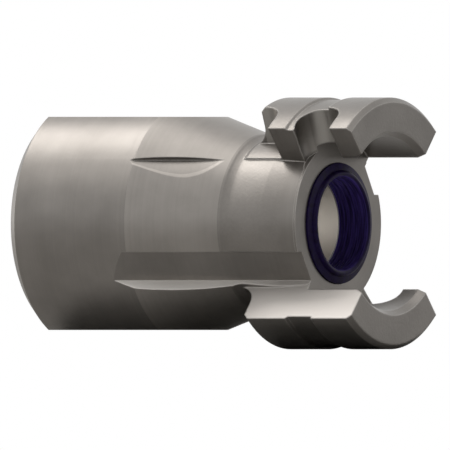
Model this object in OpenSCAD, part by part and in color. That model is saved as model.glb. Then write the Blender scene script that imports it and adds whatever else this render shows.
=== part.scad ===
// Hose coupling adapter: one cast and machined metal half with two claws at the
// front, a threaded barrel at the rear and a moulded sealing ring in its face.
// The pipe axis is X. The claws point to +X and the sealing face is at X = 0.
// The half looks the same when it is turned half way round its own axis.

/* [Barrel] */
// Outer radius of the threaded barrel
barrel_r = 31; // [29.5:0.5:36]
// Length of the barrel, from its end face to the cone
barrel_len = 36.3; // [34:0.1:50]
// Edge break at the barrel's end face
barrel_edge = 2.8; // [0.5:0.1:3]
// Distance across the two wrench flats
across_flats = 55; // [52:0.5:58]

/* [Thread bore] */
// Radius of the socket at the roots of the female pipe thread
thread_root_r = 23.9; // [21.5:0.1:24.1]
// Depth of the pipe thread from the end face, with its mouth bevel
thread_len = 24; // [18:0.5:26]
// Height of the thread's ridges, which stand inward from its roots
thread_depth = 1.5; // [0.8:0.1:1.6]
// Bevel at the mouth of the socket
mouth_bevel = 0.8; // [0.4:0.1:1.2]
// Width of the runout groove behind the thread
runout_w = 3.2; // [2:0.1:4]
// Depth of the runout groove below the thread's roots
runout_depth = 0.4; // [0.2:0.1:0.6]

/* [Neck] */
// Length of the cone between the barrel and the neck
cone_len = 23.8; // [20:0.1:30]
// Radius at the small end of the cone
foot_r = 22.95; // [22.5:0.05:24]
// Length of the neck, from the foot of the cone to the sealing face
neck_len = 21.9; // [21.5:0.1:30]
// Radius of the neck
neck_r = 21.8; // [21.5:0.1:22.2]
// Radius of the blend between the cone and the neck
foot_blend_r = 4.2; // [3:0.1:5]
// Length of the drafted nose at the front of the neck
nose_len = 10; // [6:0.5:12]
// Radius of the sealing face
face_r = 20.9; // [20.4:0.1:21.3]
// Radius of the flow bore
flow_r = 11.6; // [9:0.1:11.8]

/* [Claws] */
// Outer radius of the claws
claw_r = 32.5; // [31:0.1:36]
// Inner radius of the claws in front of the sealing face
claw_inner_r = 22.5; // [22.3:0.1:24]
// Reach of the claws in front of the sealing face
claw_reach = 17; // [15:0.1:20]
// Length of the claws behind the sealing face
claw_back = 15.7; // [14:0.1:16]
// Half of the angle that each claw covers
claw_half_angle = 41; // [36:0.5:43]
// Radius of the blend from the back of the claws down to the neck
claw_root_r = 5.2; // [4:0.1:5.4]
// Bevel round the outside of the claws' front
claw_front_bevel = 1.2; // [0.4:0.1:2]
// Bevel round the inside of the claws' front
claw_inner_bevel = 1.9; // [0.4:0.1:2.4]
// Bevel round the back of the claws
claw_back_bevel = 1.3; // [0.4:0.1:2]
// Depth of the turned groove round the claws
band_depth = 0.65; // [0.2:0.05:1.2]
// Width of the turned groove round the claws
band_w = 7.2; // [4:0.1:9]
// Rear edge of the turned groove, behind the sealing face
band_set_back = 2.3; // [0:0.1:4]

/* [Claw slots] */
// Front face of the locking finger, behind the sealing face
finger_set_back = 0.6; // [0.2:0.1:1.2]
// Thickness of the locking finger along the axis
finger_t = 7.4; // [6:0.1:8]
// Thickness of the hooked lip along the axis
lip_t = 6.4; // [5:0.1:7]
// Angle from the middle of a claw to the end wall of its slot
web_angle = 22.7; // [16:0.1:28]
// Corner radius at the end wall, on the side of the slot towards the lip
slot_corner_r = 6; // [4:0.1:6.4]
// Corner radius at the end wall, on the side of the slot towards the finger
finger_corner_r = 4.2; // [2:0.1:4.6]
// Radius of the floor of the relief behind the locking finger
relief_floor_r = 22.3; // [22.2:0.05:23]
// Length of the bevelled tip of each finger, along the radius
tip_bevel = 2.9; // [1:0.1:4]
// Tilt of the bevelled tip from the plain end of the finger, in degrees
tip_tilt = 7; // [2:0.5:12]

/* [Side channels] */
// Depth of the channel floor below the rim of the sealing face
channel_depth = 1.9; // [1:0.1:2]
// Height of the channel's upper wall below the axis
channel_ledge = 7.4; // [4:0.1:9]
// Distance behind the sealing face where the channel runs level
channel_straight = 2.8; // [1:0.1:5]
// Radius from the axis to the lower edge of the channel floor
channel_toe_r = 19.65; // [19:0.05:20]
// Angle that each channel wall stands clear of the claws' ends
channel_margin = 0.5; // [0.2:0.1:2]
// Radius of the cutter path that lifts the channel out of the barrel
channel_path_r = 102; // [96:1:130]

/* [Sealing ring] */
// Outer radius of the sealing ring at the face
seal_r = 15.6; // [15:0.1:15.8]
// Inner radius of the sealing ring
seal_bore_r = 12; // [11.9:0.1:12.4]
// Depth of the ring's pocket behind the sealing face
seal_depth = 7.1; // [6:0.1:8]
// Height of the sealing lip in front of the sealing face
lip_stand = 1.8; // [1:0.1:2.2]
// Height of the ring's outer shoulder in front of the sealing face
shoulder_stand = 0.5; // [0.2:0.1:0.8]
// Radius of the ring's locking bead at the bottom of the pocket
bead_r = 17; // [16.6:0.1:17.2]
// Thickness of the locking bead
bead_t = 2.3; // [1.6:0.1:2.8]
// Play between the ring and its pocket
seal_play = 0.08; // [0.04:0.01:0.15]
// Radius of the fine grooves in the bore of the ring
rib_r = 0.22; // [0.1:0.02:0.3]
// Count of the fine grooves in the bore of the ring
rib_count = 5; // [3:1:6]

/* [Hidden] */
$fn = 96;
// Overrun of every cut past the surface that it leaves through
over = 1;
// Everything beyond this radius is air
clear_r = barrel_r + claw_r;

cone_start = -(cone_len + neck_len);
rear = cone_start - barrel_len;
neck_start = -neck_len + foot_blend_len();
// Angle that the blend at the foot of the cone turns through
foot_blend_turn = asin(foot_blend_len() / foot_blend_r);
// Facets that stand for each of the two blends
blend_steps = 4;
root_steps = 8;
relief_back = claw_back + claw_root_r;
channel_r = face_r - channel_depth;
// Radius that the claws reach inward to, inside the neck
claw_seat_r = channel_r - over;
side_angle = 90 - claw_half_angle - channel_margin;
// Angle of the ledge, where it meets the channel floor
ledge_angle = asin(channel_ledge / channel_r);
slot_end = claw_reach - lip_t;
band_end = band_w - band_set_back;
seat_r = seal_r + seal_play;
bead_seat_r = bead_r + seal_play;
bead_seat_t = bead_t + seal_play;
mouth_r = thread_root_r + mouth_bevel;
runout_r = thread_root_r + runout_depth;
socket_end = rear + thread_len + runout_w;
// Radius of the hole in the socket's floor, inside the thread's crests
throat_r = thread_root_r - 2 * thread_depth;
// Run of the taper along the axis, for each millimetre that its radius closes
throat_run = 2;
throat_len = throat_run * (throat_r - flow_r);
// How far round its path the channel runs before it is out of the barrel
channel_turn = 40;
// How far the cutter stands out ahead of the nose before it enters
channel_lead = 4;
lip_crown_r = 0.9;

// Axial length of the blend at the foot of the cone
function foot_blend_len() =
    sqrt(pow(foot_blend_r, 2) - pow(foot_blend_r - (foot_r - neck_r), 2));

// Points along an arc about a centre, from one angle to another
function arc(centre, r, from, to, steps) =
    [for (i = [0:steps])
        let (angle = from + (to - from) * i / steps)
            centre + r * [cos(angle), sin(angle)]];

// Turns a flat section, drawn as radius and station, about the pipe axis
module turned() {
    rotate([0, 90, 0])
        rotate_extrude()
            children();
}

// Repeats a feature on the other side, half way round the axis
module both_sides() {
    for (turn = [0, 180])
        rotate([turn, 0, 0])
            children();
}

// Section of the barrel, the cone and the neck
module stem_section() {
    polygon(concat(
        [
            [0, rear],
            [barrel_r - barrel_edge, rear],
            [barrel_r, rear + barrel_edge],
            [barrel_r, cone_start]
        ],
        arc([neck_r + foot_blend_r, neck_start], foot_blend_r,
            180 + foot_blend_turn, 180, blend_steps),
        [
            [neck_r, -nose_len],
            [face_r, 0],
            [0, 0]
        ]
    ));
}

// Section of a claw, with its root blend, turned groove and bevels
module claw_section() {
    polygon(concat(
        [
            [claw_seat_r, -relief_back]
        ],
        arc([neck_r + claw_root_r, -relief_back], claw_root_r, 180, 90, root_steps),
        [
            [claw_r - claw_back_bevel, -claw_back],
            [claw_r, -claw_back + claw_back_bevel],
            [claw_r, -band_set_back - band_depth],
            [claw_r - band_depth, -band_set_back],
            [claw_r - band_depth, band_end],
            [claw_r, band_end],
            [claw_r, claw_reach - claw_front_bevel],
            [claw_r - claw_front_bevel, claw_reach],
            [claw_inner_r + claw_front_bevel, claw_reach],
            [claw_inner_r, claw_reach - claw_inner_bevel],
            [claw_inner_r, 0],
            [claw_seat_r, 0]
        ]
    ));
}

// The two claws, above and below the neck
module claws() {
    both_sides()
        rotate([0, 90, 0])
            rotate([0, 0, 180 - claw_half_angle])
                rotate_extrude(angle = 2 * claw_half_angle)
                    claw_section();
}

// Outline of a side channel, seen along the axis: x is outward, y is up. Its
// floor follows the neck above the ledge and is a flat strip below it.
module channel_outline() {
    reach = clear_r * sin(side_angle);
    difference() {
        polygon([
            [0, 0],
            [clear_r * cos(side_angle), reach],
            [clear_r, reach],
            [clear_r, -reach],
            [clear_r * cos(side_angle), -reach]
        ]);
        intersection() {
            circle(neck_r);
            translate([0, -channel_ledge])
                square([neck_r, neck_r + channel_ledge]);
        }
        polygon([
            [0, -channel_ledge],
            [channel_r * cos(ledge_angle), -channel_ledge],
            [channel_toe_r * cos(side_angle), -channel_toe_r * sin(side_angle)],
            [0, -channel_toe_r * sin(side_angle)]
        ]);
    }
}

// The cutter for one side: it enters at the nose and curves out of the barrel
module side_channel() {
    translate([-channel_straight, -channel_path_r, 0])
        rotate([0, 0, 90 - channel_lead])
            rotate_extrude(angle = channel_lead + channel_turn)
                translate([channel_path_r, 0])
                    mirror([1, 0])
                        channel_outline();
}

// A pocket cut from the side into a claw, up to its end wall
module claw_pocket(front, back, floor_r, back_corner_r) {
    difference() {
        rotate([web_angle, 0, 0])
            linear_extrude(clear_r) {
                translate([back, -clear_r])
                    square([front - back, clear_r - slot_corner_r]);
                translate([back, -clear_r])
                    square([front - back - slot_corner_r, clear_r - back_corner_r]);
                translate([back + back_corner_r, -clear_r])
                    square([front - back - back_corner_r - slot_corner_r, clear_r]);
                translate([front - slot_corner_r, -slot_corner_r])
                    circle(slot_corner_r);
                if (back_corner_r > 0)
                    translate([back + back_corner_r, -back_corner_r])
                        circle(back_corner_r);
            }
        rotate([0, 90, 0])
            cylinder(h = 2 * clear_r, r = floor_r, center = true);
    }
}

// The slot that takes the other half's finger, the relief behind the finger
// and the bevelled tip of both fingers
module claw_cuts() {
    claw_pocket(slot_end, -finger_set_back, face_r, finger_corner_r);
    claw_pocket(-finger_set_back - finger_t, -relief_back, relief_floor_r, 0);
    rotate([claw_half_angle, 0, 0])
        translate([-claw_back, 0, claw_r - tip_bevel])
            rotate([tip_tilt, 0, 0])
                translate([0, -claw_r, 0])
                    cube([claw_back + claw_reach + over, claw_r, claw_r]);
}

// The two wrench flats on the barrel
module wrench_flats() {
    both_sides()
        translate([rear - over, -clear_r, across_flats / 2])
            cube([barrel_len + cone_len + over, 2 * clear_r, clear_r]);
}

// Section of the waterway, from the threaded socket to the ring's pocket
module waterway_section() {
    polygon([
        [0, rear - over],
        [mouth_r + over, rear - over],
        [mouth_r, rear],
        [thread_root_r, rear + mouth_bevel],
        [thread_root_r, rear + thread_len],
        [runout_r, rear + thread_len],
        [runout_r, socket_end],
        [throat_r, socket_end],
        [flow_r, socket_end + throat_len],
        [flow_r, -seal_depth],
        [bead_seat_r, -seal_depth],
        [bead_seat_r, -seal_depth + bead_seat_t],
        [seat_r, -seal_depth + bead_seat_t],
        [seat_r, over],
        [0, over]
    ]);
}

// The metal half: one casting, machined all over
module body() {
    color([0.62, 0.6, 0.57])
        difference() {
            union() {
                difference() {
                    turned()
                        stem_section();
                    both_sides()
                        side_channel();
                }
                claws();
            }
            both_sides()
                claw_cuts();
            wrench_flats();
            turned()
                waterway_section();
        }
}

// Section of the sealing ring, with its bead, shoulder and rounded lip
module seal_section() {
    crown_r = seal_bore_r + lip_crown_r;
    rib_pitch = seal_depth / (rib_count + 1);
    difference() {
        union() {
            polygon([
                [seal_bore_r, -seal_depth],
                [bead_r, -seal_depth],
                [bead_r, -seal_depth + bead_t],
                [seal_r, -seal_depth + bead_t],
                [seal_r, shoulder_stand],
                [crown_r + lip_crown_r, lip_stand - lip_crown_r],
                [seal_bore_r, lip_stand - lip_crown_r]
            ]);
            translate([crown_r, lip_stand - lip_crown_r])
                circle(lip_crown_r);
        }
        for (i = [1:rib_count])
            translate([seal_bore_r, -i * rib_pitch])
                circle(rib_r);
    }
}

// The moulded ring that closes the joint against the other half's ring
module seal() {
    color([0.13, 0.09, 0.32])
        turned()
            seal_section();
}

body();
seal();
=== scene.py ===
"""Looks of the hose coupling adapter: a metal half with two claws, its cut pipe
thread and its moulded sealing ring, in a plain bright room."""

import math

import bmesh
import bpy
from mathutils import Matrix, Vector


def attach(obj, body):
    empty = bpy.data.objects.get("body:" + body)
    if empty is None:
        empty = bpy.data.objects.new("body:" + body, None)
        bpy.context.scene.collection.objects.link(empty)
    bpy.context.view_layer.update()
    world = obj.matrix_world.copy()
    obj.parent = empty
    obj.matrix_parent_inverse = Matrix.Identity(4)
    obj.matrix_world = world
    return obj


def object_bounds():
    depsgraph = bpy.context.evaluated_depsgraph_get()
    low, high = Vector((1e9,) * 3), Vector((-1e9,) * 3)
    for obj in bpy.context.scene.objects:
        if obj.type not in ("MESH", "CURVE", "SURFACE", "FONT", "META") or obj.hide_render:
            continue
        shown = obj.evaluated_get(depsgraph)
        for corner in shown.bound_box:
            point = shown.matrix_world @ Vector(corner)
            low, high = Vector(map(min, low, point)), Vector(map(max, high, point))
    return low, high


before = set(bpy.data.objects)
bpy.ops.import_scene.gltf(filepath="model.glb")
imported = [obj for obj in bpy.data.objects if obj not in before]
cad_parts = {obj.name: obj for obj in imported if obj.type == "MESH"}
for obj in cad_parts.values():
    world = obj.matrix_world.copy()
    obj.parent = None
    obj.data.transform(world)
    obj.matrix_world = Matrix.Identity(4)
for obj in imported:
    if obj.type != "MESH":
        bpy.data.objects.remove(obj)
cad_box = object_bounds()


# The room.
# A pale bench under a bright room. The picture is taken square on and from a
# third of the way round, so the half shows its side and its open front at once.

camera_distance = 0.5
picture_width = 0.1161
look_from = Vector((0.532, -0.847, 0)).normalized()
picture_right = Vector((0.847, 0.532, 0))
look_at = picture_right * -0.029154 + Vector((0, 0, -0.000413))
camera = bpy.data.objects.new("camera", bpy.data.cameras.new("camera"))
camera.data.type = "ORTHO"
camera.data.ortho_scale = picture_width
camera.location = look_at + look_from * camera_distance
camera.rotation_euler = look_from.to_track_quat("Z", "Y").to_euler()
bpy.context.scene.collection.objects.link(camera)
bpy.context.scene.camera = camera
bpy.context.scene.view_settings.view_transform = "Standard"


def add_node(tree, kind, inputs, **settings):
    """Adds a shader node. Each input takes a plain value or another node's output."""
    made = tree.nodes.new("ShaderNode" + kind)
    for name, value in settings.items():
        setattr(made, name, value)
    for name, value in inputs.items():
        if isinstance(value, bpy.types.NodeSocket):
            tree.links.new(value, made.inputs[name])
        else:
            made.inputs[name].default_value = value
    return made


def maths(tree, operation, *values):
    """Works out one sum on numbers."""
    return add_node(tree, "Math", dict(enumerate(values)), operation=operation).outputs[0]


def seen_directly(tree):
    """1 where a surface is seen by the camera, in polished metal or through glass."""
    path = add_node(tree, "LightPath", {})
    seen = path.outputs["Is Camera Ray"]
    for ray in ("Is Glossy Ray", "Is Transmission Ray"):
        seen = maths(tree, "MAXIMUM", seen, path.outputs[ray])
    return seen


room_light = 0.15
room = bpy.data.worlds.new("bright_room")
room.use_nodes = True
room.node_tree.nodes.clear()
walls = add_node(room.node_tree, "Background", {"Color": (1, 1, 1, 1), "Strength": 1.0})
air = add_node(
    room.node_tree, "Background", {"Color": (1, 0.985, 0.965, 1), "Strength": room_light}
)
shown = add_node(
    room.node_tree,
    "MixShader",
    {0: seen_directly(room.node_tree), 1: air.outputs[0], 2: walls.outputs[0]},
)
add_node(room.node_tree, "OutputWorld", {"Surface": shown.outputs[0]})
bpy.context.scene.world = room

# The softboxes: a bright one over the threaded end, a dim one on the near side
# of it, a wide dim one straight above and a small one behind the socket.
for name, place, width, watts in (
    ("bright_softbox", (-0.50, -0.03, 0.80), 0.42, 2.9),
    ("near_softbox", (-0.50, -0.44, 0.66), 0.50, 0.75),
    ("wide_softbox", (0.02, -0.05, 1.00), 0.80, 2.2),
    ("socket_softbox", (-0.70, 0.00, 0.01), 0.20, 0.8),
):
    lamp = bpy.data.lights.new(name, "AREA")
    lamp.shape = "SQUARE"
    lamp.size = width
    lamp.energy = watts
    lamp.color = (1, 0.975, 0.95)
    softbox = bpy.data.objects.new(name, lamp)
    softbox.location = place
    softbox.rotation_euler = Vector(place).to_track_quat("Z", "Y").to_euler()
    bpy.context.scene.collection.objects.link(softbox)


def new_material(name):
    """A material whose shader is still empty, and the tree to build it in."""
    made = bpy.data.materials.new(name)
    made.use_nodes = True
    made.node_tree.nodes.clear()
    return made, made.node_tree


def mix_colours(tree, share, first, second):
    """Goes from the first colour to the second as the share goes from 0 to 1."""
    inputs = {0: share, "Color1": first, "Color2": second}
    return add_node(tree, "MixRGB", inputs).outputs[0]


# The bench top, just under the lower claw.
bench_half = 1.5
bench_height = cad_box[0][2]
corners = [(-1, -1), (1, -1), (1, 1), (-1, 1)]
bench_mesh = bpy.data.meshes.new("bench")
bench_mesh.from_pydata(
    [(x * bench_half, y * bench_half, bench_height) for x, y in corners], [], [(0, 1, 2, 3)]
)
bench = bpy.data.objects.new("bench", bench_mesh)
bpy.context.scene.collection.objects.link(bench)
laminate, tree = new_material("pale_laminate")
speckle = add_node(tree, "TexNoise", {"Scale": 60.0, "Detail": 3.0}).outputs["Fac"]
tone = mix_colours(tree, speckle, (0.80, 0.80, 0.79, 1), (0.86, 0.86, 0.85, 1))
top = add_node(tree, "BsdfDiffuse", {"Color": tone})
add_node(tree, "OutputMaterial", {"Surface": top.outputs[0]})
bench_mesh.materials.append(laminate)


# The metal half.
# One iron casting with two claws. The barrel, cone, face and bores are turned
# on a lathe and the wrench flats milled; claws and neck keep the cast skin.


def vector_maths(tree, operation, *values, **named):
    """Works out one sum on vectors, which gives a vector or a number."""
    inputs = {**dict(enumerate(values)), **named}
    made = add_node(tree, "VectorMath", inputs, operation=operation)
    gives_number = operation in ("LENGTH", "DOT_PRODUCT")
    return made.outputs["Value" if gives_number else "Vector"]


def remap(tree, value, start, end, low=0.0, high=1.0):
    """Goes from low to high while the value goes from start to end."""
    inputs = {"Value": value, "From Min": start, "From Max": end}
    inputs.update({"To Min": low, "To Max": high})
    return add_node(tree, "MapRange", inputs).outputs[0]


def mix_values(tree, share, first, second):
    """Goes from the first number to the second as the share goes from 0 to 1."""
    return add_node(tree, "Mix", {0: share, 2: first, 3: second}).outputs[0]


def noise(tree, place, scale, detail, roughness):
    """A cloudy pattern from 0 to 1. A greater scale makes it finer."""
    inputs = {"Vector": place, "Scale": scale, "Detail": detail, "Roughness": roughness}
    return add_node(tree, "TexNoise", inputs).outputs["Fac"]


def tone_between(tree, value, start, dark, end, light):
    """The dark tone up to the start, the light one from the end, a blend between."""
    made = add_node(tree, "ValToRGB", {"Fac": value})
    first, last = made.color_ramp.elements
    first.position, first.color = start, dark
    last.position, last.color = end, light
    return made.outputs[0]


def places_in_mm(tree):
    """A place on the surface: the point itself, its three coordinates, the part of
    it across the pipe axis and how far out from the axis it lies."""
    place = add_node(tree, "TexCoord", {}).outputs["Object"]
    place = vector_maths(tree, "SCALE", place, Scale=1000.0)
    x, y, z = add_node(tree, "SeparateXYZ", {0: place}).outputs
    across = add_node(tree, "CombineXYZ", {"Y": y, "Z": z}).outputs[0]
    return place, (x, y, z), across, vector_maths(tree, "LENGTH", across)


def finish_surface(tree, shade, gloss, relief, **more):
    """Puts the colour, the gloss and the relief on the surface."""
    inputs = {"Base Color": shade, "Roughness": gloss, "Normal": relief}
    inputs.update({name.replace("_", " "): value for name, value in more.items()})
    surface = add_node(tree, "BsdfPrincipled", inputs)
    add_node(tree, "OutputMaterial", {"Surface": surface.outputs[0]})


metal, tree = new_material("turned_and_cast_iron")
place, (x, y, z), across, out = places_in_mm(tree)

# 1 where the lathe has turned the surface: behind the neck and inside the face's
# rim. These places and all that follow on the metal are in millimetres.
neck_back = -22.4
face_edge = 21.3
behind_neck = maths(tree, "LESS_THAN", x, neck_back)
inside_face = maths(tree, "LESS_THAN", out, face_edge)
turned = maths(tree, "MAXIMUM", behind_neck, inside_face)

# The two skins: fine rings left by the lathe, and the grain of the sand mould.
lathe_place = add_node(tree, "CombineXYZ", {"X": x, "Y": out}).outputs[0]
rings = noise(tree, lathe_place, 1.1, 5.0, 0.62)
grain = noise(tree, place, 1.3, 6.0, 0.6)
skin = mix_values(tree, turned, grain, rings)

# Walls that run in from the rim are milled, so they face round the axis. The
# wrench flats are milled too, and both keep the cutter's straight marks.
flat_height = 27.45
round_axis = vector_maths(tree, "CROSS_PRODUCT", across, (1, 0, 0))
round_axis = vector_maths(tree, "NORMALIZE", round_axis)
facing = add_node(tree, "NewGeometry", {}).outputs["Normal"]
faces_round = vector_maths(tree, "DOT_PRODUCT", facing, round_axis)
walls_milled = remap(tree, maths(tree, "ABSOLUTE", faces_round), 0.72, 0.90)
high = maths(tree, "GREATER_THAN", maths(tree, "ABSOLUTE", z), flat_height)
flats = maths(tree, "MULTIPLY", high, behind_neck)
milled = maths(tree, "MAXIMUM", walls_milled, flats)
cut_place = vector_maths(tree, "MULTIPLY", place, (1, 0.06, 0.06))
cuts = noise(tree, cut_place, 0.9, 4.0, 0.6)
skin = mix_values(tree, milled, skin, cuts)

# Handling tones the metal in broad patches.
patches = noise(tree, place, 0.09, 4.0, 0.55)
tone = mix_values(tree, 0.35, patches, skin)
shade = tone_between(
    tree, tone, 0.36, (0.184, 0.172, 0.159, 1), 0.64, (0.222, 0.208, 0.193, 1)
)

# The cone is painted a shade lighter than the barrel, as painted light on its
# forward-facing slope.
# It closes in by 0.338 mm for each mm ahead, and would be 15.5 mm out at the face.
cone_slope = 0.338
cone_level = 15.38
cone_light_gain = 1.27
faces_ahead = add_node(tree, "SeparateXYZ", {0: facing}).outputs["X"]
faces_ahead = remap(tree, faces_ahead, 0.05, 0.20)
cone_line = maths(tree, "MULTIPLY_ADD", x, cone_slope, out)
on_cone = maths(tree, "GREATER_THAN", cone_line, cone_level)
on_cone = maths(tree, "MULTIPLY", on_cone, faces_ahead)
on_cone = maths(tree, "MULTIPLY", on_cone, behind_neck)
painted_cone_light = remap(tree, on_cone, 0, 1, 1.0, cone_light_gain)
shade = vector_maths(tree, "SCALE", shade, Scale=painted_cone_light)

# Painted light: the claws' closed ends, the walls in line with them and the waterway are
# painted bright, the ends brightest where they face ahead.
bore_edge = 18.2
closed_ends = remap(tree, faces_round, 0.72, 0.90)
painted_bright_ends = mix_colours(tree, faces_ahead, (0.50, 0.475, 0.45, 1), (0.90, 0.87, 0.83, 1))
shade = mix_colours(tree, closed_ends, shade, painted_bright_ends)
behind_face = maths(tree, "LESS_THAN", x, -1.0)
in_bore = maths(tree, "LESS_THAN", out, bore_edge)
in_bore = maths(tree, "MULTIPLY", in_bore, behind_face)
shade = mix_colours(tree, in_bore, shade, (0.86, 0.835, 0.80, 1))

# The end walls of the slots and of the pockets behind the fingers, where they face back
# round the axis, are painted a shade lighter than the cast skin.
claw_back = -16.0
claw_foot = 21.6
slot_swing = 0.57
beyond_face = maths(tree, "GREATER_THAN", out, claw_foot)
swing = maths(tree, "DIVIDE", maths(tree, "ABSOLUTE", y), out)
deep_in = maths(tree, "LESS_THAN", swing, slot_swing)
ahead = maths(tree, "GREATER_THAN", x, claw_back)
slot_ends = maths(tree, "MULTIPLY", beyond_face, deep_in)
slot_ends = maths(tree, "MULTIPLY", slot_ends, ahead)
faces_away = remap(tree, faces_round, -0.35, -0.75)
slot_ends = maths(tree, "MULTIPLY", slot_ends, faces_away)
shade = mix_colours(tree, slot_ends, shade, (0.34, 0.325, 0.305, 1))

# Edges are rubbed brighter, and every sharp edge is broken by a file.
edge_r = remap(tree, turned, 0, 1, 0.00062, 0.00032)
softened = add_node(tree, "Bevel", {"Radius": edge_r}, samples=6).outputs[0]
alike = vector_maths(tree, "DOT_PRODUCT", softened, facing)
rubbed = remap(tree, alike, 0.995, 0.86)
shade = mix_colours(tree, rubbed, shade, (0.36, 0.345, 0.325, 1))

gloss = remap(tree, skin, 0.3, 0.7, 0.35, 0.42)
gloss = mix_values(tree, closed_ends, gloss, 0.52)
roughcast = remap(tree, turned, 0, 1, 0.42, 0.18)
relief = add_node(
    tree,
    "Bump",
    {"Height": skin, "Strength": roughcast, "Distance": 0.00010, "Normal": softened},
).outputs[0]
finish_surface(tree, shade, gloss, relief, Metallic=1.0)
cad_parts["body"].material_slots[0].material = metal


# The pipe thread.
# The female pipe thread in the rear socket: eleven turns to the inch, cut with
# rounded ridges that stand inward from the socket's wall and fade at both ends.

# The feet of the ridges are bedded a hair into the wall, so no gap shows there.
pitch = 0.0254 / 11
root_r = 0.0239
thread_height = 0.0014
bed = 0.00006
first_turn = cad_box[0][0] + 0.0010
last_turn = cad_box[0][0] + 0.0238
steps = 96
fade_steps = steps * 0.35
least_height = 0.02
ridge_shape = [(0.0, 0.0), (0.13, 0.24), (0.30, 0.80), (0.40, 0.96), (0.5, 1.0)]
ridge_shape += [(1 - share, height) for share, height in reversed(ridge_shape[:-1])]

threading = bmesh.new()
last_step = int((last_turn - first_turn - pitch) / pitch * steps)
rows = []
for step in range(last_step + 1):
    turn = 2 * math.pi * step / steps
    fade = min(1, step / fade_steps, (last_step - step) / fade_steps)
    start = first_turn + pitch * step / steps
    row = []
    for share, height in ridge_shape:
        r = root_r + bed - (thread_height + bed) * height * max(fade, least_height)
        point = (start + pitch * share, r * math.cos(turn), r * math.sin(turn))
        row.append(threading.verts.new(point))
    rows.append(row)
for row, next_row in zip(rows, rows[1:]):
    for k in range(len(ridge_shape) - 1):
        face = threading.faces.new((row[k], row[k + 1], next_row[k + 1], next_row[k]))
        face.smooth = True
bmesh.ops.recalc_face_normals(threading, faces=threading.faces)
thread_mesh = bpy.data.meshes.new("pipe_thread")
threading.to_mesh(thread_mesh)
threading.free()
thread_mesh.materials.append(metal)
pipe_thread = bpy.data.objects.new("pipe_thread", thread_mesh)
bpy.context.scene.collection.objects.link(pipe_thread)
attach(pipe_thread, "root")


# The sealing ring.
# A ring moulded in dark violet rubber and pressed into its pocket in the face,
# where a bead at its foot holds it. Its skin has the mould's satin shine.

rubber, tree = new_material("dark_violet_rubber")
place, _, _, out = places_in_mm(tree)

# The mould leaves fine rings; the bloom of the rubber lies on them in patches.
ring_place = vector_maths(tree, "MULTIPLY", place, (1, 0.04, 0.04))
mould_rings = noise(tree, ring_place, 2.6, 3.0, 0.6)
bloom = noise(tree, place, 0.6, 5.0, 0.6)
pores = noise(tree, place, 4.0, 3.0, 0.5)
face_tone = tone_between(
    tree, bloom, 0.35, (0.009, 0.004, 0.028, 1), 0.65, (0.018, 0.009, 0.066, 1)
)
bore_tone = tone_between(
    tree, mould_rings, 0.38, (0.016, 0.009, 0.060, 1), 0.62, (0.070, 0.045, 0.260, 1)
)

# The bore is painted a much lighter violet than the face, as painted light inside the bore.
in_bore = remap(tree, out, 12.45, 12.15)
shade = mix_colours(tree, in_bore, face_tone, bore_tone)
gloss = remap(tree, bloom, 0.3, 0.7, 0.30, 0.42)
relief = add_node(
    tree, "Bump", {"Height": pores, "Strength": 0.15, "Distance": 0.00005}
).outputs[0]
finish_surface(tree, shade, gloss, relief, Metallic=0.0, Specular_IOR_Level=0.08)
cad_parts["seal"].material_slots[0].material = rubber
